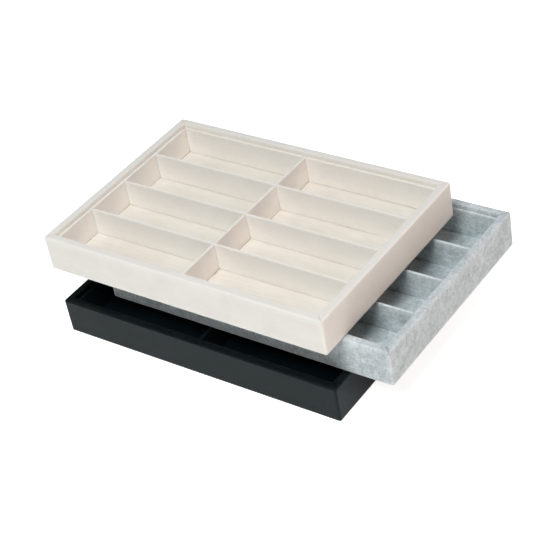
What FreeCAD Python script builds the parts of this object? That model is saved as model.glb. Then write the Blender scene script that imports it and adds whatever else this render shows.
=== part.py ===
import FreeCAD, Part
import os
import Sketcher

# Three display trays for spectacles, stacked loosely one on another. Each tray is a wooden box of a base
# board and four rails, wrapped in a cloth or leatherette skin, with a card floor, liner boards and slotted
# dividers inside.
# Frame: +X along the long side, +Y to the back, +Z up, origin at the centre of the bottom tray's underside.

SIZES = {
    # one tray, over its cover
    "tray_length": 350.0,
    "tray_width": 246.0,
    "tray_height": 42.0,
    "rim_width": 9.0,
    "corner_radius": 2.5,
    "rim_edge_radius": 2.0,
    "opening_corner_radius": 1.5,
    "opening_edge_radius": 1.2,
    "base_edge_radius": 1.0,
    # thicknesses of its layers
    "skin": 0.7,
    "base_sheet": 0.6,
    "board": 3.0,
    "floor_card": 1.0,
    "floor_pile": 0.7,
    "panel": 3.0,
    # laps, steps and clearances
    "turn_under": 12.0,
    "sheet_inset": 3.0,
    "sheet_corner": 3.0,
    "panel_drop": 4.5,
    "panel_edge": 1.2,
    "fit_gap": 0.1,
    # how the trays stand on each other
    "stack_gap": 0.2,
    "middle_shift_x": 49.2,
    "middle_shift_y": 27.5,
    "top_shift_x": -2.4,
    "top_shift_y": -0.5,
}

# Heights above a tray's underside, and half sizes of its opening, as expressions of the sheet's cells
BOARD_LOW = "(Sizes.base_sheet + Sizes.skin)"
BOARD_TOP = "(Sizes.base_sheet + Sizes.skin + Sizes.board)"
CARD_TOP = f"({BOARD_TOP} + Sizes.floor_card)"
FLOOR_TOP = f"({CARD_TOP} + Sizes.floor_pile)"
PANEL_HEIGHT = f"(Sizes.tray_height - Sizes.panel_drop - {FLOOR_TOP})"
OPENING_LENGTH = "(Sizes.tray_length - 2 * Sizes.rim_width)"
OPENING_WIDTH = "(Sizes.tray_width - 2 * Sizes.rim_width)"
LINED_LENGTH = f"({OPENING_LENGTH} - 2 * Sizes.panel)"
LINED_WIDTH = f"({OPENING_WIDTH} - 2 * Sizes.panel)"
ROW_PITCH = f"(({LINED_WIDTH} + Sizes.panel) / 4)"
PITCH = "(Sizes.tray_height + Sizes.stack_gap)"

# Each tray's shift from the bottom one, in X, Y and Z
TRAYS = {
    "bottom": ("0", "0", "0"),
    "middle": ("Sizes.middle_shift_x", "Sizes.middle_shift_y", PITCH),
    "top": ("Sizes.top_shift_x", "Sizes.top_shift_y", f"2 * {PITCH}"),
}

doc = FreeCAD.newDocument("stacking_trays")
sheet = doc.addObject("Spreadsheet::Sheet", "Sizes")
for row, (alias, value) in enumerate(SIZES.items(), 1):
    sheet.set(f"A{row}", str(value))
    sheet.setAlias(f"A{row}", alias)
doc.recompute()

sub_parts = []


def set_place(obj, shift, offset=("0", "0", "0")):
    """Bind an object's Placement to its tray's shift plus its own offset in the tray."""
    for axis, tray_shift, own in zip("xyz", shift, offset):
        obj.setExpression(f"Placement.Base.{axis}", f"{tray_shift} + {own}")


def label(obj, name):
    """Give a finished sub-part the name of its node."""
    obj.Label = name
    sub_parts.append(obj)


def rectangle(body, name, plane, length, width, offset):
    """Sketch a rectangle on one of the body's origin planes, centred at offset in the sketch's own axes."""
    sketch = body.newObject("Sketcher::SketchObject", name)
    base = next(item for item in body.Origin.OriginFeatures if item.Role == plane)
    sketch.AttachmentSupport = [(base, "")]
    sketch.MapMode = "FlatFace"
    for axis, value in zip("xyz", offset):
        sketch.setExpression(f"AttachmentOffset.Base.{axis}", value)
    corners = [FreeCAD.Vector(x, y, 0) for x, y in ((-20, -10), (20, -10), (20, 10), (-20, 10))]
    for n in range(4):
        sketch.addGeometry(Part.LineSegment(corners[n], corners[(n + 1) % 4]))
    for n in range(4):
        sketch.addConstraint(Sketcher.Constraint("Coincident", n, 2, (n + 1) % 4, 1))
        sketch.addConstraint(Sketcher.Constraint("Vertical" if n % 2 else "Horizontal", n))
    sketch.addConstraint(Sketcher.Constraint("Symmetric", 0, 1, 1, 2, -1, 1))
    sketch.addConstraint(Sketcher.Constraint("DistanceX", 0, 1, 0, 2, 40))
    sketch.renameConstraint(sketch.ConstraintCount - 1, "length")
    sketch.addConstraint(Sketcher.Constraint("DistanceY", 1, 1, 1, 2, 20))
    sketch.renameConstraint(sketch.ConstraintCount - 1, "width")
    sketch.setExpression("Constraints.length", length)
    sketch.setExpression("Constraints.width", width)
    return sketch


def pad(body, name, sketch, length, both_ways=False):
    """Raise a sketch into a solid, away from its plane or evenly to both sides of it."""
    feature = body.newObject("PartDesign::Pad", name)
    feature.Profile = sketch
    feature.setExpression("Length", length)
    if both_ways:
        feature.SideType = "Symmetric"
    doc.recompute()
    return feature


def cut(body, name, sketch, length, both_ways=False):
    """Sink a sketch into the body and make sure that it removed material."""
    before = body.Shape.Volume
    feature = body.newObject("PartDesign::Pocket", name)
    feature.Profile = sketch
    feature.setExpression("Length", length)
    if both_ways:
        feature.SideType = "Symmetric"
    doc.recompute()
    if not body.Shape.Volume < before - 1:
        raise RuntimeError(f"{body.Name}: {name} removes nothing")
    return feature


def round_edges(body, name, radius, chosen):
    """Fillet the edges of the body's last feature whose bounding box passes the test."""
    feature = body.Tip
    edges = [f"Edge{n}" for n, edge in enumerate(feature.Shape.Edges, 1) if chosen(edge.BoundBox)]
    if not edges:
        raise RuntimeError(f"{body.Name}: {name} finds no edge")
    fillet = body.newObject("PartDesign::Fillet", name)
    fillet.Base = (feature, edges)
    fillet.setExpression("Radius", radius)
    doc.recompute()
    return fillet


def flat_at(height):
    """Test for an edge that lies level at this height."""
    return lambda box: abs(box.ZMin - height) < 0.01 and abs(box.ZMax - height) < 0.01


def tray_block(name, inset, low):
    """A solid tray: a rounded block with one big opening, its faces moved in by inset all round."""
    body = doc.addObject("PartDesign::Body", name)
    length = f"Sizes.tray_length - 2 * {inset}"
    width = f"Sizes.tray_width - 2 * {inset}"
    block = rectangle(body, f"{name}_outline", "XY_Plane", length, width, ("0", "0", low))
    pad(body, f"{name}_pad", block, f"Sizes.tray_height - {inset} - {low}")
    round_edges(body, f"{name}_corners", f"Sizes.corner_radius - {inset}", lambda box: box.ZLength > 1)
    top = body.Shape.BoundBox.ZMax
    round_edges(body, f"{name}_rim_edge", f"Sizes.rim_edge_radius - {inset}", flat_at(top))
    opening = rectangle(
        body,
        f"{name}_opening",
        "XY_Plane",
        f"{OPENING_LENGTH} + 2 * {inset}",
        f"{OPENING_WIDTH} + 2 * {inset}",
        ("0", "0", "Sizes.tray_height"),
    )
    cut(body, f"{name}_pocket", opening, f"Sizes.tray_height - {BOARD_TOP}")
    return body


def region(name, length, width, low, high, centre=("0", "0")):
    """A box that picks one piece out of a tray block; it is not a piece itself."""
    box = doc.addObject("Part::Box", name)
    box.setExpression("Length", length)
    box.setExpression("Width", width)
    box.setExpression("Height", f"{high} - {low}")
    box.setExpression("Placement.Base.x", f"{centre[0]} - ({length}) / 2")
    box.setExpression("Placement.Base.y", f"{centre[1]} - ({width}) / 2")
    box.setExpression("Placement.Base.z", low)
    return box


def build_shell():
    """The covered outside of a tray and the wooden box inside it, which every tray is cut from."""
    wood = tray_block("wooden_box", "Sizes.skin", BOARD_LOW)
    covered = tray_block("covered_box", "0", "Sizes.base_sheet")
    inner_x = (SIZES["tray_length"] / 2 - SIZES["rim_width"]) + 0.5
    inner_y = (SIZES["tray_width"] / 2 - SIZES["rim_width"]) + 0.5
    high_wall = SIZES["tray_height"] / 2

    def in_opening(box):
        return max(abs(box.XMin), abs(box.XMax)) < inner_x and max(abs(box.YMin), abs(box.YMax)) < inner_y

    round_edges(
        covered,
        "covered_box_opening_corners",
        "Sizes.opening_corner_radius",
        lambda box: in_opening(box) and box.ZLength > high_wall,
    )
    at_rim = flat_at(SIZES["tray_height"])
    round_edges(
        covered,
        "covered_box_opening_edge",
        "Sizes.opening_edge_radius",
        lambda box: in_opening(box) and at_rim(box),
    )
    round_edges(covered, "covered_box_base_edge", "Sizes.base_edge_radius", flat_at(SIZES["base_sheet"]))
    return covered, wood


def build_regions():
    """The boxes that divide the wooden box into its board and rails, and the window under the cover."""
    thick = "Sizes.rim_width - Sizes.skin"
    rail_x = f"(Sizes.tray_length - ({thick})) / 2"
    rail_y = f"(Sizes.tray_width - ({thick})) / 2"
    between = f"{OPENING_WIDTH} + 2 * Sizes.skin"
    long_rail = ("Sizes.tray_length", thick, BOARD_TOP, "Sizes.tray_height")
    short_rail = (thick, between, BOARD_TOP, "Sizes.tray_height")
    return {
        "base_board": region("board_region", "Sizes.tray_length", "Sizes.tray_width", BOARD_LOW, BOARD_TOP),
        "rail_front": region("front_region", *long_rail, ("0", f"-{rail_y}")),
        "rail_back": region("back_region", *long_rail, ("0", rail_y)),
        "rail_left": region("left_region", *short_rail, (f"-{rail_x}", "0")),
        "rail_right": region("right_region", *short_rail, (rail_x, "0")),
    }


def add_wood(tray, shift, wood, regions):
    """The base board and the four rails that stand on it, the short ones between the long ones."""
    for piece, box in regions.items():
        common = doc.addObject("Part::Common", f"{tray}_{piece}")
        common.Base = wood
        common.Tool = box
        set_place(common, shift)
        label(common, f"{tray}_{piece}")


def add_cover(tray, shift, skin, window):
    """The skin round the wooden box: outside, over the rim, down inside and turned under the board."""
    cover = doc.addObject("Part::Cut", f"{tray}_outer_cover")
    cover.Base = skin
    cover.Tool = window
    set_place(cover, shift)
    label(cover, f"{tray}_outer_cover")


def add_flat(tray, piece, shift, length, width, low, thickness, corner):
    """A flat sheet with rounded corners that lies level in the tray."""
    body = doc.addObject("PartDesign::Body", f"{tray}_{piece}")
    outline = rectangle(body, f"{tray}_{piece}_outline", "XY_Plane", length, width, ("0", "0", low))
    pad(body, f"{tray}_{piece}_pad", outline, thickness)
    round_edges(body, f"{tray}_{piece}_corners", corner, lambda box: box.XLength + box.YLength < 0.01)
    set_place(body, shift)
    label(body, f"{tray}_{piece}")


def add_panel(tray, piece, shift, plane, length, offset, slots=(), slots_on_top=False):
    """An upright cloth-covered board, round on top, slotted to half its height where others cross it."""
    body = doc.addObject("PartDesign::Body", f"{tray}_{piece}")
    name = f"{tray}_{piece}"
    middle = f"{FLOOR_TOP} + {PANEL_HEIGHT} / 2"
    outline = rectangle(body, f"{name}_outline", plane, length, PANEL_HEIGHT, ("0", middle, "0"))
    pad(body, f"{name}_pad", outline, "Sizes.panel", both_ways=True)
    top = body.Shape.BoundBox.ZMax
    long_side = SIZES["tray_width"] / 2
    at_top = flat_at(top)
    round_edges(
        body,
        f"{name}_top_edges",
        "Sizes.panel_edge",
        lambda box: at_top(box) and max(box.XLength, box.YLength) > long_side,
    )
    slot_end = f"{FLOOR_TOP} + {PANEL_HEIGHT}" if slots_on_top else FLOOR_TOP
    for number, position in enumerate(slots, 1):
        slot = rectangle(
            body,
            f"{name}_slot_{number}",
            plane,
            "Sizes.panel + 2 * Sizes.fit_gap",
            f"{PANEL_HEIGHT} + 2 * Sizes.fit_gap",
            (position, slot_end, "0"),
        )
        cut(body, f"{name}_slot_cut_{number}", slot, "2 * Sizes.panel", both_ways=True)
    set_place(body, shift, offset)
    label(body, name)


def add_floor(tray, shift):
    """The sheet that the tray rests on, and the card floor with its pile cloth."""
    length = "Sizes.tray_length - 2 * Sizes.sheet_inset"
    width = "Sizes.tray_width - 2 * Sizes.sheet_inset"
    add_flat(tray, "underside_sheet", shift, length, width, "0", "Sizes.base_sheet", "Sizes.sheet_corner")
    length = f"{OPENING_LENGTH} - 2 * Sizes.fit_gap"
    width = f"{OPENING_WIDTH} - 2 * Sizes.fit_gap"
    corner = "Sizes.opening_corner_radius"
    add_flat(tray, "floor_card", shift, length, width, BOARD_TOP, "Sizes.floor_card", corner)
    add_flat(tray, "floor_cover", shift, length, width, CARD_TOP, "Sizes.floor_pile", corner)


def add_liners(tray, shift):
    """Four boards that stand against the rails inside the opening, the long ones running right across."""
    across_x = f"({OPENING_LENGTH} - Sizes.panel) / 2 - Sizes.fit_gap"
    across_y = f"({OPENING_WIDTH} - Sizes.panel) / 2 - Sizes.fit_gap"
    long_side = f"{OPENING_LENGTH} - 2 * Sizes.opening_corner_radius"
    short_side = f"{LINED_WIDTH} - 4 * Sizes.fit_gap"
    add_panel(tray, "liner_front", shift, "XZ_Plane", long_side, ("0", f"-({across_y})", "0"))
    add_panel(tray, "liner_back", shift, "XZ_Plane", long_side, ("0", across_y, "0"))
    add_panel(tray, "liner_left", shift, "YZ_Plane", short_side, (f"-({across_x})", "0", "0"))
    add_panel(tray, "liner_right", shift, "YZ_Plane", short_side, (across_x, "0", "0"))


def add_dividers(tray, shift):
    """Three long dividers slotted from below, and the cross divider slotted from above to lap with them."""
    rows = {"front": f"-{ROW_PITCH}", "middle": "0", "back": ROW_PITCH}
    long_side = f"{LINED_LENGTH} - 4 * Sizes.fit_gap"
    short_side = f"{LINED_WIDTH} - 4 * Sizes.fit_gap"
    for row, position in rows.items():
        add_panel(tray, f"row_divider_{row}", shift, "XZ_Plane", long_side, ("0", position, "0"), ["0"])
    add_panel(
        tray,
        "centre_divider",
        shift,
        "YZ_Plane",
        short_side,
        ("0", "0", "0"),
        rows.values(),
        slots_on_top=True,
    )


covered_box, wooden_box = build_shell()
wood_regions = build_regions()
under_window = region(
    "window_region",
    "Sizes.tray_length - 2 * Sizes.turn_under",
    "Sizes.tray_width - 2 * Sizes.turn_under",
    "0",
    BOARD_TOP,
)
whole_skin = doc.addObject("Part::Cut", "whole_skin")
whole_skin.Base = covered_box
whole_skin.Tool = wooden_box
for tray_name, tray_shift in TRAYS.items():
    add_wood(tray_name, tray_shift, wooden_box, wood_regions)
    add_cover(tray_name, tray_shift, whole_skin, under_window)
    add_floor(tray_name, tray_shift)
    add_liners(tray_name, tray_shift)
    add_dividers(tray_name, tray_shift)
doc.recompute()

for obj in doc.Objects:
    if "Invalid" in obj.State or "Error" in obj.State:
        raise RuntimeError(f"{obj.Name} did not build: {obj.State}")
for obj in sub_parts:
    if obj.Shape.isNull() or not obj.Shape.isValid():
        raise RuntimeError(f"{obj.Label} has no valid shape")

os.makedirs("parts", exist_ok=True)
for obj in sub_parts:
    obj.Shape.exportStep(f"parts/{obj.Label}.step")
    box = obj.Shape.BoundBox
    corners = [round(value, 2) for value in (box.XMin, box.YMin, box.ZMin, box.XMax, box.YMax, box.ZMax)]
    print(obj.Label, len(obj.Shape.Solids), "solid", round(obj.Shape.Volume), "mm3", corners)
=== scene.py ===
import math

import bmesh
import bpy
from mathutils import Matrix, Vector


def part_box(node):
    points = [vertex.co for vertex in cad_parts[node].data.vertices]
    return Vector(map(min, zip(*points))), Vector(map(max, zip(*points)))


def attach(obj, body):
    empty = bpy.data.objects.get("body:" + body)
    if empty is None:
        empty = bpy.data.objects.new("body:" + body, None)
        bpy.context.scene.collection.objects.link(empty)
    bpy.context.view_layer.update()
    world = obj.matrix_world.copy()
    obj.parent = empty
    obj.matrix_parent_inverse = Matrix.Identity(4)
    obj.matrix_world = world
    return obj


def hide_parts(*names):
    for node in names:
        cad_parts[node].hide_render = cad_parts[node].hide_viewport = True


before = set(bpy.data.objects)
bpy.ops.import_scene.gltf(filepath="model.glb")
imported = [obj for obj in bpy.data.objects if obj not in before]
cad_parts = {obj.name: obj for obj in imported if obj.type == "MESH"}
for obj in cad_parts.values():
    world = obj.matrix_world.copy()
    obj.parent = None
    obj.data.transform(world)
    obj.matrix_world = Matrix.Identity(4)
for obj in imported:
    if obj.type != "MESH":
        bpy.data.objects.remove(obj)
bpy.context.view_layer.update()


# ---------------------------------------------------------------------------------------------
# The wooden boxes. Each tray is built on a thin fibreboard base with four rails of the same
# board glued along its edge, the short rails between the long ones. They are left bare,
# because the cover, the floor and the underside sheet hide all of them.
# ---------------------------------------------------------------------------------------------

MM = 0.001
TRAYS = ("bottom", "middle", "top")


def put(tree, kind, inputs=None, **settings):
    """Add a node. Each input is a value, or another node's output to link from."""
    node = tree.nodes.new(kind)
    for setting, value in settings.items():
        setattr(node, setting, value)
    for socket, value in (inputs or {}).items():
        if isinstance(value, bpy.types.NodeSocket):
            tree.links.new(value, node.inputs[socket])
        else:
            node.inputs[socket].default_value = value
    return node


def object_noise(tree, scale, detail=2.0, roughness=0.5, distortion=0.0, stretch=(1, 1, 1)):
    """Noise laid through the piece in its own coordinates; scale is in features per metre."""
    place = put(tree, "ShaderNodeTexCoord")
    turned = put(tree, "ShaderNodeMapping", {"Vector": place.outputs["Object"], "Scale": stretch})
    noise = put(
        tree,
        "ShaderNodeTexNoise",
        {
            "Vector": turned.outputs["Vector"],
            "Scale": scale,
            "Detail": detail,
            "Roughness": roughness,
            "Distortion": distortion,
        },
    )
    return noise.outputs["Fac"]


def spread_out(tree, value, low, high, to_low=0.0, to_high=1.0):
    """Map a value from low..high to to_low..to_high, and hold it there."""
    sockets = {"Value": value, "From Min": low, "From Max": high, "To Min": to_low, "To Max": to_high}
    return put(tree, "ShaderNodeMapRange", sockets).outputs["Result"]


def total(tree, *terms):
    """Add values together, each given as (value, share)."""
    sum_so_far = 0.0
    for value, share in terms:
        part = put(tree, "ShaderNodeMath", {0: value, 1: share, 2: sum_so_far}, operation="MULTIPLY_ADD")
        sum_so_far = part.outputs[0]
    return sum_so_far


def between(tree, share, first, second):
    """A colour from first to second by share."""
    mix = put(tree, "ShaderNodeMix", {"Factor": share}, data_type="RGBA")
    for socket, colour in (("A", first), ("B", second)):
        target = [item for item in mix.inputs if item.name == socket and item.type == "RGBA"][0]
        if isinstance(colour, bpy.types.NodeSocket):
            tree.links.new(colour, target)
        else:
            target.default_value = (*colour, 1.0)
    return [item for item in mix.outputs if item.type == "RGBA"][0]


def finish_named(name, **even_values):
    """A new material and its shader; values that are even all over are set on the shader itself."""
    material = bpy.data.materials.new(name)
    material.use_nodes = True
    shader = material.node_tree.nodes["Principled BSDF"]
    for socket, value in even_values.items():
        shader.inputs[socket.replace("_", " ")].default_value = value
    return material, shader


def wire_up(material, shader, colour, roughness, height, depth):
    """Lead a pattern's colour, roughness and height into the shader; depth is in metres."""
    tree = material.node_tree
    tree.links.new(colour, shader.inputs["Base Color"])
    tree.links.new(roughness, shader.inputs["Roughness"])
    bump = put(tree, "ShaderNodeBump", {"Height": height, "Distance": depth, "Strength": 1.0})
    tree.links.new(bump.outputs["Normal"], shader.inputs["Normal"])


def finish_carried_over(node_name, finish):
    """Give a CAD node, which keeps its own mesh, its material."""
    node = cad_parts[node_name]
    node.data.materials.clear()
    node.data.materials.append(finish)


fibreboard, shader = finish_named("fibreboard", Specular_IOR_Level=0.25)
tree = fibreboard.node_tree
flakes = object_noise(tree, 900, detail=4, roughness=0.65, distortion=1.2)
flakes = spread_out(tree, flakes, 0.35, 0.68)
layers = spread_out(tree, object_noise(tree, 60, detail=3, stretch=(0.2, 0.2, 8)), 0.3, 0.7)
board_light = between(tree, flakes, (0.36, 0.24, 0.14), (0.62, 0.46, 0.30))
board_colour = between(tree, total(tree, (layers, 0.35)), board_light, (0.45, 0.31, 0.18))
board_rough = spread_out(tree, flakes, 0, 1, to_low=0.72, to_high=0.9)
wire_up(fibreboard, shader, board_colour, board_rough, flakes, depth=0.15 * MM)

for tray in TRAYS:
    for piece in ("base_board", "rail_front", "rail_back", "rail_left", "rail_right"):
        finish_carried_over(f"{tray}_{piece}", fibreboard)


# ---------------------------------------------------------------------------------------------
# The outer covers. One long strip of cloth, or of leatherette on the bottom tray, is glued round
# each box: turned under the board, up the outside, over the rim and down the inside. At each
# corner of the rim the spare material is folded into a mitre.
# ---------------------------------------------------------------------------------------------

RIM_WIDTH = 9 * MM
TURN_UNDER = 12 * MM
CLOTH = 0.7 * MM
CLOTH_STEP = 5 * MM
OUTER_CORNER_ROUND = 2.5 * MM
OUTER_RIM_ROUND = 2.0 * MM
FOOT_ROUND = 1.0 * MM
INNER_CORNER_ROUND = 1.5 * MM
INNER_RIM_ROUND = 1.2 * MM
CUTS_FROM_SIDE = 17 * MM
CUTS_FROM_FOOT = 2.5 * MM
CUTS_FROM_TOP = 3.5 * MM

# How far off a point may lie and still count as on a line, and as on a face.
HAIR = 0.01 * MM
NEARLY = 0.1 * MM


def block(name, low, high):
    """Add a cube that fills the box from low to high, and open it for editing with nothing selected."""
    bpy.ops.object.select_all(action="DESELECT")
    bpy.ops.mesh.primitive_cube_add(size=1, location=(low + high) / 2, scale=high - low)
    obj = bpy.context.object
    obj.name = name
    obj.data.name = name
    bpy.ops.object.transform_apply(location=True, rotation=True, scale=True)
    bpy.ops.object.mode_set(mode="EDIT")
    bpy.ops.mesh.select_all(action="DESELECT")
    return obj


def choose(kind, test):
    """Select the faces, edges or vertices of the open mesh that pass a test of their place."""
    bpy.ops.mesh.select_mode(type={"verts": "VERT", "edges": "EDGE", "faces": "FACE"}[kind])
    bpy.ops.mesh.select_all(action="DESELECT")
    mesh = bpy.context.object.data
    shape = bmesh.from_edit_mesh(mesh)
    for item in list(getattr(shape, kind)):
        if kind == "verts":
            passed = test(item.co)
        elif kind == "edges":
            passed = test(*(end.co for end in item.verts))
        else:
            passed = test(item.calc_center_median(), item.normal)
        if passed:
            item.select_set(True)
    bmesh.update_edit_mesh(mesh)


def upright(first, second):
    """Whether an edge stands straight up."""
    return (first - second).xy.length < HAIR


def level_at(height):
    """A test of whether an edge lies wholly at a height."""
    return lambda *ends: all(abs(end.z - height) < HAIR for end in ends)


def from_sides(place, low, high):
    """How far in a point lies from the nearest of a box's four sides."""
    return min(place.x - low.x, high.x - place.x, place.y - low.y, high.y - place.y)


def bevel(radius, segments):
    """Round the selected edges."""
    rounding = {"offset_type": "OFFSET", "profile": 0.5, "clamp_overlap": False}
    bpy.ops.mesh.bevel(offset=radius, segments=segments, **rounding)


def cut_across(axis, place):
    """Cut the whole mesh by a plane square to one axis."""
    point = Vector((0, 0, 0))
    normal = Vector((0, 0, 0))
    point[axis] = place
    normal[axis] = 1
    bpy.ops.mesh.select_all(action="SELECT")
    bpy.ops.mesh.bisect(plane_co=point, plane_no=normal)


def even_cuts(axis, start, end, step):
    """Cut the whole mesh into even bands, at most step wide, between two places on an axis."""
    count = math.ceil((end - start) / step)
    for number in range(count + 1):
        cut_across(axis, start + (end - start) * number / count)


def use_modifier(obj, kind, **settings):
    """Add a modifier and apply it."""
    modifier = obj.modifiers.new(kind.lower(), kind)
    for setting, value in settings.items():
        setattr(modifier, setting, value)
    bpy.ops.object.modifier_apply(modifier=modifier.name)


def glue_waves(obj, size, depth):
    """Let the cloth dip a little here and there, as glued cloth does; it never stands proud."""
    clouds = bpy.data.textures.new(f"{obj.name}_waves", "CLOUDS")
    clouds.noise_scale = size
    clouds.noise_depth = 1
    use_modifier(obj, "DISPLACE", texture=clouds, strength=depth, mid_level=1.0, texture_coords="LOCAL")


def close_up(obj, smooth_angle=40):
    """Leave edit mode, with the faces turned outwards and the rounded ones shaded smooth."""
    bpy.ops.mesh.select_all(action="SELECT")
    bpy.ops.mesh.normals_make_consistent(inside=False)
    bpy.ops.object.mode_set(mode="OBJECT")
    bpy.ops.object.shade_smooth_by_angle(angle=math.radians(smooth_angle))


def rim_corners(low, high):
    """The rim's four outer corners, each with the way in towards the middle of the tray."""
    corners = []
    for side_x, side_y in ((-1, -1), (1, -1), (1, 1), (-1, 1)):
        corner = Vector((high.x if side_x > 0 else low.x, high.y if side_y > 0 else low.y, high.z))
        corners.append((corner, Vector((-side_x, -side_y, 0))))
    return corners


def across_mitre(inward):
    """The level direction square to a corner's mitre line."""
    return Vector((inward.x, -inward.y, 0)).normalized()


def off_mitre(place, corner, inward):
    """How far to one side of a corner's mitre line a point lies."""
    return (place - corner).dot(across_mitre(inward))


CORNER_REACH = RIM_WIDTH + 1.5 * MM
CORNER_DEPTH = 3 * MM
MITRE_CUTS = (-1.1 * MM, -0.4 * MM, 0.0, 0.9 * MM)
MITRE_LENGTH = RIM_WIDTH * 1.42 + 0.5 * MM
MITRE_DROP = 2.2 * MM
MITRE_LINE = (-0.05 * MM, 0.05 * MM)
UNDER_LAP = (-0.6 * MM, -0.2 * MM)


def fold_mitre(corner, inward, depth):
    """Crease the rim along its mitre, from the outer corner to the inner one, one lap under the other."""

    def on_corner(centre, normal):
        away = centre - corner
        near = abs(away.x) < CORNER_REACH and abs(away.y) < CORNER_REACH
        return near and normal.z > 0.1 and centre.z > corner.z - CORNER_DEPTH

    def sink(start, end, drop):
        def in_strip(place):
            near = (place - corner).xy.length < MITRE_LENGTH
            beside = start < off_mitre(place, corner, inward) < end
            return near and beside and place.z > corner.z - MITRE_DROP

        choose("verts", in_strip)
        bpy.ops.transform.translate(value=(0, 0, -drop))

    across = across_mitre(inward)
    for offset in MITRE_CUTS:
        choose("faces", on_corner)
        bpy.ops.mesh.bisect(plane_co=corner + across * offset, plane_no=across)
    sink(*MITRE_LINE, depth)
    sink(*UNDER_LAP, 0.55 * depth)


def fade(distance, reach):
    """1 at no distance, and less the further off: about a third at the reach."""
    return math.exp(-((distance / reach) ** 2))


# How far the paler colour reaches from the edges, partly wear and partly painted highlight, and the
# painted highlight along the rim top.
EDGE_WEAR_AND_LIGHT = 3.0 * MM
RIM_TOP_LIGHT = 1.6 * MM
RIM_TOP_LIGHT_SHARE = 0.45


def mark_wear_and_painted_light(cover, low, high):
    """Store how near each point is to a corner or edge, from 0 to 1: partly real wear from hands and
    partly painted highlight, with a painted highlight along the rim top.
    """
    wear_and_painted_light = cover.data.attributes.new("wear_and_painted_light", "FLOAT", "POINT")
    for point, store in zip(cover.data.vertices, wear_and_painted_light.data):
        x, y, z = point.co
        in_x = min(x - low.x, high.x - x)
        in_y = min(y - low.y, high.y - y)
        in_side = min(in_x, in_y)
        to_top = high.z - z
        edges = (
            math.hypot(in_x, in_y),
            math.hypot(in_side, to_top),
            math.hypot(in_side, z - low.z) + MM,
            math.hypot(in_side - RIM_WIDTH, to_top) + MM,
        )
        store.value = max(fade(min(edges), EDGE_WEAR_AND_LIGHT), RIM_TOP_LIGHT_SHARE * fade(to_top, RIM_TOP_LIGHT))


# How far the painted shade along each mitre fold reaches.
FOLD_SHADE_WIDTH = 0.45 * MM
FOLD_SHADE_LENGTH = 13 * MM
FOLD_SHADE_DROP = 2.5 * MM


def paint_fold_shade(cover, low, high):
    """Store how near each point is to a mitre, from 0 to 1: the mask for the painted shade along the
    fold.
    """
    fold_shade_mask = cover.data.attributes.new("fold_shade_mask", "FLOAT", "POINT")
    corners = rim_corners(low, high)
    for point, store in zip(cover.data.vertices, fold_shade_mask.data):
        corner, inward = min(corners, key=lambda pair: (point.co - pair[0]).length)
        away = point.co - corner
        past_end = max(0, away.xy.length - FOLD_SHADE_LENGTH)
        from_fold = math.hypot(off_mitre(point.co, corner, inward), past_end)
        store.value = fade(from_fold, FOLD_SHADE_WIDTH) if away.z > -FOLD_SHADE_DROP else 0


def make_cover(tray, waves, mitre):
    """Build one tray's cover from a block: edges rounded, middle sunk, base left open under the board."""
    low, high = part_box(f"{tray}_outer_cover")
    inside_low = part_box(f"{tray}_rail_front")[0].z
    cover = block(f"{tray}_cover", low, high)

    def cut_in_from_sides(distance):
        for axis in (0, 1):
            for place in (low[axis] + distance, high[axis] - distance):
                cut_across(axis, place)

    def inside_rim(*ends):
        return min(from_sides(end, low, high) for end in ends) > RIM_WIDTH - NEARLY

    choose("edges", upright)
    bevel(OUTER_CORNER_ROUND, segments=6)
    choose("edges", level_at(high.z))
    bevel(OUTER_RIM_ROUND, segments=5)
    choose("edges", level_at(low.z))
    bevel(FOOT_ROUND, segments=3)

    cut_in_from_sides(RIM_WIDTH)
    choose("faces", lambda centre, normal: normal.z > 0.9 and from_sides(centre, low, high) > RIM_WIDTH)
    bpy.ops.mesh.extrude_region_move(TRANSFORM_OT_translate={"value": (0, 0, inside_low - high.z)})
    bpy.ops.mesh.delete(type="FACE")
    choose("edges", lambda *ends: upright(*ends) and inside_rim(*ends))
    bevel(INNER_CORNER_ROUND, segments=3)
    choose("edges", lambda *ends: level_at(high.z)(*ends) and inside_rim(*ends))
    bevel(INNER_RIM_ROUND, segments=4)

    cut_in_from_sides(TURN_UNDER)
    choose("faces", lambda centre, normal: normal.z < -0.9 and from_sides(centre, low, high) > TURN_UNDER)
    bpy.ops.mesh.delete(type="FACE")

    cut_in_from_sides(RIM_WIDTH / 2)
    for axis in (0, 1):
        even_cuts(axis, low[axis] + CUTS_FROM_SIDE, high[axis] - CUTS_FROM_SIDE, CLOTH_STEP)
    even_cuts(2, low.z + CUTS_FROM_FOOT, high.z - CUTS_FROM_TOP, CLOTH_STEP)
    for corner, inward in rim_corners(low, high):
        fold_mitre(corner, inward, mitre)
    close_up(cover)
    glue_waves(cover, size=22 * MM, depth=waves)
    use_modifier(cover, "SOLIDIFY", thickness=CLOTH, offset=-1, use_rim=True)
    mark_wear_and_painted_light(cover, low, high)
    paint_fold_shade(cover, low, high)
    return cover


def surface_group(name, inputs):
    """A shader node group with the named inputs, for a pattern's colour, roughness and height."""
    group = bpy.data.node_groups.new(name, "ShaderNodeTree")
    for socket, value in inputs.items():
        kind = "NodeSocketColor" if isinstance(value, tuple) else "NodeSocketFloat"
        made = group.interface.new_socket(name=socket, in_out="INPUT", socket_type=kind)
        made.default_value = value
    for socket, kind in (("Color", "Color"), ("Roughness", "Float"), ("Height", "Float")):
        group.interface.new_socket(name=socket, in_out="OUTPUT", socket_type=f"NodeSocket{kind}")
    return group, group.nodes.new("NodeGroupInput").outputs, group.nodes.new("NodeGroupOutput").inputs


def times(tree, first, second, **settings):
    """Multiply two values."""
    return put(tree, "ShaderNodeMath", {0: first, 1: second}, operation="MULTIPLY", **settings).outputs[0]


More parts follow.
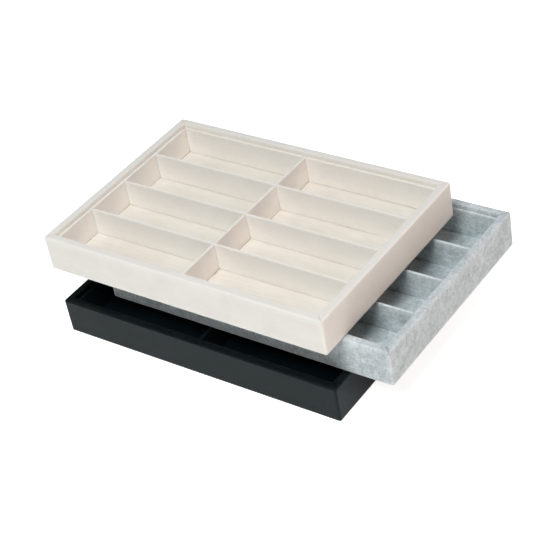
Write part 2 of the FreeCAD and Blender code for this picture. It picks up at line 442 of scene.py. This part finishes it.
def stored(tree, name):
    """A value that was stored on the points of the mesh."""
    return put(tree, "ShaderNodeAttribute", attribute_name=name).outputs["Fac"]


def add_wear_light_and_fold_shade(tree, ground, wear_and_light, given):
    """Mix in the paler colour of wear and painted highlight by its share, and then the painted fold shade
    along the mitres.
    """
    worn_and_lit = between(tree, wear_and_light, ground, given["Wear And Painted Light Colour"])
    return between(tree, total(tree, (stored(tree, "fold_shade_mask"), 0.75)), worn_and_lit, given["Painted Fold Shade Colour"])


# Short pile cloth: brushed patches, cloudy mottling, crossing fibres, streaks left by wiping it along
# the tray, a fine nap, paler edges that are partly rubbed and partly painted highlight, and painted shade
# along the folds.
pile, given, out = surface_group(
    "pile_cloth",
    {
        "Deep": (0.5, 0.5, 0.5, 1),
        "Pale": (0.8, 0.8, 0.8, 1),
        "Wear And Painted Light Colour": (0.9, 0.9, 0.9, 1),
        "Painted Fold Shade Colour": (0.3, 0.3, 0.3, 1),
        "Brushing": 0.3,
        "Mottle": 0.3,
        "Fibre": 0.3,
        "Streaks": 0.0,
        "Wear And Painted Light": 0.5,
    },
)
brushed = object_noise(pile, 26, detail=2, roughness=0.45, distortion=0.8)
clouds = object_noise(pile, 150, detail=3, roughness=0.65, distortion=0.6)
curds = object_noise(pile, 420, detail=3, roughness=0.75, distortion=0.4)
wiped = object_noise(pile, 450, detail=3, roughness=0.6, distortion=0.4, stretch=(0.08, 1.0, 1.0))
fibres = 0.0
for stretch in ((1.0, 0.35, 1.0), (0.35, 1.0, 1.0), (1.0, 1.0, 0.35)):
    crossing = object_noise(pile, 700, detail=3, roughness=0.7, distortion=2.0, stretch=stretch)
    fibres = put(pile, "ShaderNodeMath", {0: fibres, 1: crossing}, operation="MAXIMUM").outputs[0]
nap = object_noise(pile, 2600, detail=1)
cloud_tone = spread_out(pile, clouds, 0.3, 0.7, -1, 1)
curd_tone = spread_out(pile, curds, 0.3, 0.7, -1, 1)
brush_part = times(pile, spread_out(pile, brushed, 0.3, 0.7, -1, 1), given["Brushing"])
mottle_part = times(pile, total(pile, (cloud_tone, 0.55), (curd_tone, 0.45)), given["Mottle"])
fibre_part = times(pile, spread_out(pile, fibres, 0.46, 0.74, -1, 1), given["Fibre"])
streak_part = times(pile, spread_out(pile, wiped, 0.35, 0.65, -1, 1), given["Streaks"])
shade = total(pile, (brush_part, 0.5), (mottle_part, 0.5), (fibre_part, 0.5), (streak_part, 0.5))
shade = put(pile, "ShaderNodeMath", {0: shade, 1: 0.5}, operation="ADD", use_clamp=True).outputs[0]
ground = between(pile, shade, given["Deep"], given["Pale"])
patchy = spread_out(pile, curds, 0.3, 0.6, 0.35, 1.0)
wear_and_light = times(pile, times(pile, stored(pile, "wear_and_painted_light"), patchy), given["Wear And Painted Light"], use_clamp=True)
pile.links.new(add_wear_light_and_fold_shade(pile, ground, wear_and_light, given), out["Color"])
pile.links.new(spread_out(pile, shade, 0, 1, to_low=0.98, to_high=0.86), out["Roughness"])
pile.links.new(total(pile, (fibres, 0.45), (nap, 0.35), (curds, 0.35)), out["Height"])

# Leatherette: a pebbled grain, long faint creases, paler edges that are partly polished by handling and
# partly painted highlight, and painted shade along the folds.
leather, given, out = surface_group(
    "leather_grain",
    {
        "Deep": (0.01, 0.01, 0.01, 1),
        "Pale": (0.02, 0.02, 0.02, 1),
        "Wear And Painted Light Colour": (0.04, 0.04, 0.04, 1),
        "Painted Fold Shade Colour": (0.001, 0.001, 0.001, 1),
        "Pebble Size": 1100.0,
        "Wear And Painted Light": 0.5,
    },
)
place = put(leather, "ShaderNodeTexCoord").outputs["Object"]
wobble = object_noise(leather, 900)
push = put(leather, "ShaderNodeVectorMath", {0: wobble, 1: (0.4 * MM,) * 3}, operation="MULTIPLY")
shifted = put(leather, "ShaderNodeVectorMath", {0: place, 1: push.outputs[0]}, operation="ADD")
pebbles = put(
    leather,
    "ShaderNodeTexVoronoi",
    {"Vector": shifted.outputs[0], "Scale": given["Pebble Size"]},
    feature="DISTANCE_TO_EDGE",
).outputs["Distance"]
domes = spread_out(leather, pebbles, 0.02, 0.32)
creases = object_noise(leather, 45, detail=4, roughness=0.55, distortion=1.5)
creases = spread_out(leather, creases, 0.46, 0.54)
tone = spread_out(leather, object_noise(leather, 30, detail=3), 0.3, 0.7)
ground = between(leather, total(leather, (domes, 0.6), (tone, 0.4)), given["Deep"], given["Pale"])
wear_and_light = times(leather, stored(leather, "wear_and_painted_light"), given["Wear And Painted Light"])
leather.links.new(add_wear_light_and_fold_shade(leather, ground, wear_and_light, given), out["Color"])
dome_rough = spread_out(leather, domes, 0, 1, to_low=0.40, to_high=0.29)
leather.links.new(total(leather, (dome_rough, 1.0), (wear_and_light, -0.12), (tone, 0.05)), out["Roughness"])
leather.links.new(total(leather, (domes, 0.8), (creases, 0.2)), out["Height"])


def patterned_finish(name, pattern, amounts, depth, **even_values):
    """A material that gives a shared pattern its own colours and amounts; depth is its relief."""
    material, shader = finish_named(name, **even_values)
    surface = put(material.node_tree, "ShaderNodeGroup", node_tree=pattern)
    for socket, value in amounts.items():
        surface.inputs[socket].default_value = (*value, 1) if isinstance(value, tuple) else value
    colour, roughness, height = surface.outputs
    wire_up(material, shader, colour, roughness, height, depth)
    return material


VELVET = {"Specular_IOR_Level": 0.2, "Sheen_Weight": 1.0, "Sheen_Roughness": 0.5}
ivory_velvet = patterned_finish(
    "ivory_velvet",
    pile,
    {
        "Deep": (0.865, 0.80, 0.72),
        "Pale": (0.93, 0.88, 0.815),
        "Wear And Painted Light Colour": (0.97, 0.927, 0.875),
        "Painted Fold Shade Colour": (0.74, 0.68, 0.60),
        "Brushing": 0.5,
        "Mottle": 0.35,
        "Fibre": 0.35,
        "Streaks": 0.35,
        "Wear And Painted Light": 1.0,
    },
    depth=0.25 * MM,
    **VELVET,
)
grey_velvet = patterned_finish(
    "grey_velvet",
    pile,
    {
        "Deep": (0.375, 0.43, 0.45),
        "Pale": (0.82, 0.875, 0.885),
        "Wear And Painted Light Colour": (0.88, 0.92, 0.93),
        "Painted Fold Shade Colour": (0.18, 0.21, 0.22),
        "Brushing": 0.3,
        "Mottle": 1.2,
        "Fibre": 0.6,
        "Wear And Painted Light": 0.55,
    },
    depth=0.35 * MM,
    **VELVET,
)
black_leatherette = patterned_finish(
    "black_leatherette",
    leather,
    {
        "Deep": (0.0006, 0.0020, 0.0024),
        "Pale": (0.0020, 0.0046, 0.0054),
        "Wear And Painted Light Colour": (0.0030, 0.0060, 0.0070),
        "Painted Fold Shade Colour": (0.0004, 0.0008, 0.0010),
    },
    depth=0.09 * MM,
    Specular_IOR_Level=0.25,
    Specular_Tint=(0.70, 0.93, 1.0, 1),
)


def stand_for(obj, tray, piece, finish, slot):
    """Give a finished piece its material, its tray to ride on and the CAD node that it replaces."""
    obj.data.materials.append(finish)
    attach(obj, f"{tray}_tray")
    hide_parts(f"{tray}_{piece}")


# For each tray: the finish, its slot, how deep the glued cloth waves, and how deep its mitres are.
COVERS = {
    "bottom": (black_leatherette, "black_leatherette", 0.12 * MM, 0.35 * MM),
    "middle": (grey_velvet, "grey_velvet", 0.35 * MM, 0.55 * MM),
    "top": (ivory_velvet, "ivory_velvet", 0.25 * MM, 0.35 * MM),
}
for tray, (finish, slot, waves, mitre) in COVERS.items():
    cover = make_cover(tray, waves, mitre)
    low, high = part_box(f"{tray}_outer_cover")
    stand_for(cover, tray, "outer_cover", finish, slot)


# ---------------------------------------------------------------------------------------------
# The underside sheets. A thin black felt sheet is glued under each tray, over the turned-under
# edge of the cover. Its middle sinks in a little past that edge, and the tray rests on the part
# that stands out round it.
# ---------------------------------------------------------------------------------------------

SHEET_CORNER = 3 * MM
SHEET_EDGE = 0.15 * MM
SHEET_SINK = 0.35 * MM
SHEET_STEP = 12 * MM
EDGE_LAP = TURN_UNDER - 3 * MM
SINK_SLOPE = 2.5 * MM
SINK_STEPS = ((EDGE_LAP - 0.5 * MM, 0.35), (EDGE_LAP + 2 * MM, 0.65))
CUTS_PAST_LAP = 8 * MM

felt, shader = finish_named(
    "underside_felt",
    Specular_IOR_Level=0.15,
    Sheen_Weight=0.15,
    Sheen_Roughness=0.5,
)
tree = felt.node_tree
matted = object_noise(tree, 480, detail=4, roughness=0.7, distortion=2.5)
patches = spread_out(tree, object_noise(tree, 35), 0.3, 0.7)
shade = total(tree, (spread_out(tree, matted, 0.35, 0.65), 0.7), (patches, 0.3))
felt_colour = between(tree, shade, (0.010, 0.010, 0.011), (0.045, 0.045, 0.048))
felt_rough = spread_out(tree, shade, 0, 1, to_low=0.98, to_high=0.86)
wire_up(felt, shader, felt_colour, felt_rough, matted, depth=0.3 * MM)

for tray in TRAYS:
    low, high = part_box(f"{tray}_underside_sheet")
    sheet = block(f"{tray}_underside", low, high)
    choose("edges", upright)
    bevel(SHEET_CORNER, segments=5)
    choose("edges", lambda first, second: abs(first.z - second.z) < HAIR)
    bevel(SHEET_EDGE, segments=1)
    for axis in (0, 1):
        for edge, side in ((low, 1), (high, -1)):
            for step_in in (EDGE_LAP - SINK_SLOPE, EDGE_LAP, EDGE_LAP + SINK_SLOPE):
                cut_across(axis, edge[axis] + side * step_in)
        first_cut = EDGE_LAP + CUTS_PAST_LAP
        even_cuts(axis, low[axis] + first_cut, high[axis] - first_cut, SHEET_STEP)

    # The middle sinks in two steps, a third of the way at the lap and the rest past it.
    for inset, share in SINK_STEPS:
        choose("verts", lambda place: from_sides(place, low, high) > inset)
        bpy.ops.transform.translate(value=(0, 0, SHEET_SINK * share))
    close_up(sheet, smooth_angle=30)
    stand_for(sheet, tray, "underside_sheet", felt, "underside_sheet")


# ---------------------------------------------------------------------------------------------
# The floors. A grey card lies loose on the base board, with the tray's pile cloth glued on top.
# The cloth is pressed down under the dividers and along the liner boards, and stands a little
# fuller between them.
# ---------------------------------------------------------------------------------------------

PRESSED = 0.28 * MM
PRESS_FOOT = 0.7 * MM
PRESS_EDGE = 2.5 * MM
FLOOR_CORNER = 1.5 * MM
FLOOR_STEP = 9 * MM
FLOOR_CUTS_FROM_SIDE = 12 * MM

card, shader = finish_named("grey_card", Specular_IOR_Level=0.3)
tree = card.node_tree
pulp = object_noise(tree, 420, detail=4, roughness=0.7, distortion=1.6)
card_colour = between(tree, spread_out(tree, pulp, 0.35, 0.66), (0.33, 0.31, 0.28), (0.52, 0.50, 0.45))
card_rough = spread_out(tree, pulp, 0.3, 0.7, to_low=0.82, to_high=0.94)
wire_up(card, shader, card_colour, card_rough, pulp, depth=0.08 * MM)

# A darker copy of the ivory velvet for the floors: painted shade that darkens the floors against the
# walls.
ivory_floor_velvet_painted_shade = patterned_finish(
    "ivory_floor_velvet_painted_shade",
    pile,
    {
        "Deep": (0.81, 0.745, 0.66),
        "Pale": (0.875, 0.82, 0.755),
        "Brushing": 0.6,
        "Mottle": 0.35,
        "Fibre": 0.35,
        "Streaks": 0.8,
    },
    depth=0.25 * MM,
    **VELVET,
)
# A slightly paler copy of the grey velvet for the boards and floor: painted light that lifts the inside
# of the tray.
grey_lining_velvet_painted_light = patterned_finish(
    "grey_lining_velvet_painted_light",
    pile,
    {
        "Deep": (0.385, 0.445, 0.46),
        "Pale": (0.83, 0.89, 0.895),
        "Wear And Painted Light Colour": (0.88, 0.92, 0.93),
        "Brushing": 0.35,
        "Mottle": 1.1,
        "Fibre": 0.6,
        "Streaks": 0.25,
        "Wear And Painted Light": 0.55,
    },
    depth=0.35 * MM,
    **VELVET,
)
black_velvet = patterned_finish(
    "black_velvet",
    pile,
    {
        "Deep": (0.0014, 0.0055, 0.0080),
        "Pale": (0.0045, 0.0150, 0.0210),
        "Wear And Painted Light Colour": (0.010, 0.020, 0.026),
        "Brushing": 0.5,
        "Mottle": 0.5,
        "Fibre": 0.5,
        "Wear And Painted Light": 0.5,
    },
    depth=0.3 * MM,
    Specular_IOR_Level=0.1,
    Sheen_Weight=0.04,
    Sheen_Roughness=0.4,
)

# For each tray: the floor's cloth and its slot.
FLOORS = {
    "bottom": (black_velvet, "black_velvet"),
    "middle": (grey_lining_velvet_painted_light, "grey_velvet"),
    "top": (ivory_floor_velvet_painted_shade, "ivory_velvet"),
}
for tray, (finish, slot) in FLOORS.items():
    finish_carried_over(f"{tray}_floor_card", card)
    low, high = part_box(f"{tray}_floor_cover")
    floor_cloth = block(f"{tray}_floor", low, high)
    choose("edges", upright)
    bevel(FLOOR_CORNER, segments=3)

    def reach(piece, axis):
        return tuple(corner[axis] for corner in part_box(f"{tray}_{piece}"))

    pressed_x = [reach("centre_divider", 0)]
    pressed_x.append((low.x, reach("liner_left", 0)[1]))
    pressed_x.append((reach("liner_right", 0)[0], high.x))
    pressed_y = [reach(f"row_divider_{row}", 1) for row in ("front", "middle", "back")]
    pressed_y.append((low.y, reach("liner_front", 1)[1]))
    pressed_y.append((reach("liner_back", 1)[0], high.y))
    for axis, pressed in ((0, pressed_x), (1, pressed_y)):
        for start, end in pressed:
            for place in (start - PRESS_EDGE, start - PRESS_FOOT, end + PRESS_FOOT, end + PRESS_EDGE):
                cut_across(axis, place)
        first_cut = FLOOR_CUTS_FROM_SIDE
        even_cuts(axis, low[axis] + first_cut, high[axis] - first_cut, FLOOR_STEP)

    def under_board(place):
        in_x = any(start - MM < place.x < end + MM for start, end in pressed_x)
        in_y = any(start - MM < place.y < end + MM for start, end in pressed_y)
        return (in_x or in_y) and place.z > high.z - NEARLY

    choose("verts", under_board)
    bpy.ops.transform.translate(value=(0, 0, -PRESSED))
    close_up(floor_cloth)
    glue_waves(floor_cloth, size=30 * MM, depth=0.15 * MM)
    stand_for(floor_cloth, tray, "floor_cover", finish, slot)


# ---------------------------------------------------------------------------------------------
# The liner boards. Four stiff boards covered in the tray's pile cloth stand inside the rim,
# a step lower than it. The cloth is drawn over their tops, which makes them round and soft.
# ---------------------------------------------------------------------------------------------

TOP_ROUND = 1.25 * MM
END_ROUND = 0.6 * MM
FOOT_EASE = 0.4 * MM
BOARD_STEP = 6 * MM
BOARD_CUTS_FROM_EDGE = 3 * MM
BOARD_WAVES = 0.18 * MM

# For each tray: the boards' cloth and its slot.
BOARDS = {
    "bottom": (black_velvet, "black_velvet"),
    "middle": (grey_lining_velvet_painted_light, "grey_velvet"),
    "top": (ivory_velvet, "ivory_velvet"),
}
# For each tray: how far down from the top the boards are painted paler, and how much. This painted light
# evens out the shade on the upper part of the walls.
PAINTED_TOP_LIGHT = {"bottom": (10 * MM, 1.0), "middle": (6 * MM, 1.0), "top": (40 * MM, 0.7)}


def make_board(name, tray, piece, waves):
    """A cloth-covered board: top rounded, ends and foot eased, cut fine enough to dip and swell."""
    low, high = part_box(f"{tray}_{piece}")
    board = block(name, low, high)
    choose("edges", level_at(high.z))
    bevel(TOP_ROUND, segments=5)
    choose("edges", upright)
    bevel(END_ROUND, segments=2)
    choose("edges", level_at(low.z))
    bevel(FOOT_EASE, segments=2)
    long_axis = 0 if high.x - low.x > high.y - low.y else 1
    for axis in (long_axis, 2):
        first_cut = low[axis] + BOARD_CUTS_FROM_EDGE
        last_cut = high[axis] - BOARD_CUTS_FROM_EDGE
        even_cuts(axis, first_cut, last_cut, BOARD_STEP)
    close_up(board)
    glue_waves(board, size=26 * MM, depth=waves)
    # Painted light: the board's cloth is painted paler towards its top.
    depth, strength = PAINTED_TOP_LIGHT[tray]
    wear_and_painted_light = board.data.attributes.new("wear_and_painted_light", "FLOAT", "POINT")
    for point, store in zip(board.data.vertices, wear_and_painted_light.data):
        store.value = strength * fade(high.z - point.co.z, depth)
    return board


for tray in TRAYS:
    for side in ("front", "back", "left", "right"):
        board = make_board(f"{tray}_{side}_liner_board", tray, f"liner_{side}", BOARD_WAVES)
        stand_for(board, tray, f"liner_{side}", *BOARDS[tray])


# ---------------------------------------------------------------------------------------------
# The dividers. Three long cloth-covered boards, slotted from below, lap with one cross board,
# slotted from above, so that they lock into eight compartments. They stand loose on the floor
# with their tops level with the liner.
# ---------------------------------------------------------------------------------------------

SLOT_PLAY = 0.1 * MM
PAST_BOARD = 5 * MM
CROSS_WAVES = 0.15 * MM


def cut_slot(board, low, high):
    """Take a slot out of a board with a box-shaped cutter."""
    cutter = block(f"{board.name}_cutter", low, high)
    bpy.ops.object.mode_set(mode="OBJECT")
    cutter.select_set(False)
    board.select_set(True)
    bpy.context.view_layer.objects.active = board
    use_modifier(board, "BOOLEAN", object=cutter, operation="DIFFERENCE", solver="EXACT")
    bpy.data.objects.remove(cutter)


for tray in TRAYS:
    cross_low, cross_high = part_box(f"{tray}_centre_divider")
    middle_z = (cross_low.z + cross_high.z) / 2
    cross = make_board(f"{tray}_cross_divider", tray, "centre_divider", CROSS_WAVES)
    for row in ("front", "middle", "back"):
        low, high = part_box(f"{tray}_row_divider_{row}")
        board = make_board(f"{tray}_{row}_divider", tray, f"row_divider_{row}", BOARD_WAVES)
        slot_low = Vector((cross_low.x - SLOT_PLAY, low.y - PAST_BOARD, low.z - PAST_BOARD))
        slot_high = Vector((cross_high.x + SLOT_PLAY, high.y + PAST_BOARD, middle_z + SLOT_PLAY))
        cut_slot(board, slot_low, slot_high)
        stand_for(board, tray, f"row_divider_{row}", *BOARDS[tray])
        slot_low = Vector((cross_low.x - PAST_BOARD, low.y - SLOT_PLAY, middle_z - SLOT_PLAY))
        slot_high = Vector((cross_high.x + PAST_BOARD, high.y + SLOT_PLAY, cross_high.z + PAST_BOARD))
        cut_slot(cross, slot_low, slot_high)
    stand_for(cross, tray, "centre_divider", *BOARDS[tray])


# ---------------------------------------------------------------------------------------------
# The studio. A plain white table under one large soft light, high over the front, with weaker
# soft lights on the right, left and back. The camera looks down on the front right corner.
# ---------------------------------------------------------------------------------------------

OBJECT_MIDDLE = Vector((0.02, 0.01, 0.08))
GLOW_TO_CAMERA = 0.84

bpy.ops.object.select_all(action="DESELECT")
bpy.ops.mesh.primitive_plane_add(size=12)
table = bpy.context.object
table.name = "table"
table_white, shader = finish_named(
    "table_white",
    Base_Color=(0.9, 0.9, 0.9, 1),
    Roughness=0.9,
    Specular_IOR_Level=0.1,
    Emission_Color=(1, 1, 1, 1),
)
seen = put(table_white.node_tree, "ShaderNodeLightPath").outputs["Is Camera Ray"]
glow = spread_out(table_white.node_tree, seen, 0, 1, 0.28, GLOW_TO_CAMERA)
table_white.node_tree.links.new(glow, shader.inputs["Emission Strength"])
table.data.materials.append(table_white)


def soft_light(name, place, size, watts, colour):
    """A square soft box that faces the middle of the stack."""
    light = bpy.data.lights.new(name, "AREA")
    light.size = size
    light.energy = watts
    light.color = colour
    lamp = bpy.data.objects.new(name, light)
    bpy.context.scene.collection.objects.link(lamp)
    lamp.location = place
    lamp.rotation_euler = (OBJECT_MIDDLE - Vector(place)).to_track_quat("-Z", "Y").to_euler()


soft_light("key_light", (0.27, -1.0, 1.85), size=1.0, watts=32, colour=(0.93, 0.98, 1.0))
soft_light("warm_fill", (1.6, 0.0, 0.5), size=1.2, watts=5.6, colour=(1.0, 0.69, 0.50))
soft_light("right_fill", (1.4, 0.1, 1.2), size=1.2, watts=2.0, colour=(1.0, 1.0, 1.0))
soft_light("left_fill", (-1.8, 0.0, 0.8), size=1.2, watts=7, colour=(1.0, 0.98, 0.78))
soft_light("back_fill", (0.2, 1.3, 1.5), size=1.2, watts=4, colour=(0.48, 0.62, 1.0))
soft_light("low_back_fill", (0.0, 1.8, 0.4), size=1.2, watts=5, colour=(0.95, 0.97, 1.0))

world = bpy.data.worlds.new("white_room")
bpy.context.scene.world = world
world.use_nodes = True
walls = world.node_tree.nodes["Background"]
walls.inputs["Color"].default_value = (1.0, 0.99, 0.98, 1)
seen = put(world.node_tree, "ShaderNodeLightPath").outputs["Is Camera Ray"]
white_walls = spread_out(world.node_tree, seen, 0, 1, 0.03, GLOW_TO_CAMERA)
world.node_tree.links.new(white_walls, walls.inputs["Strength"])
bpy.context.scene.view_settings.view_transform = "Standard"

lens = bpy.data.cameras.new("camera")
lens.sensor_width = 36.0
lens.lens = 103.24
lens.clip_end = 50.0
camera = bpy.data.objects.new("camera", lens)
bpy.context.scene.collection.objects.link(camera)
camera.location = (0.89888, -1.01426, 1.04260)
camera.rotation_euler = (math.radians(52.908), math.radians(8.727), math.radians(34.316))
bpy.context.scene.camera = camera

bpy.context.view_layer.update()
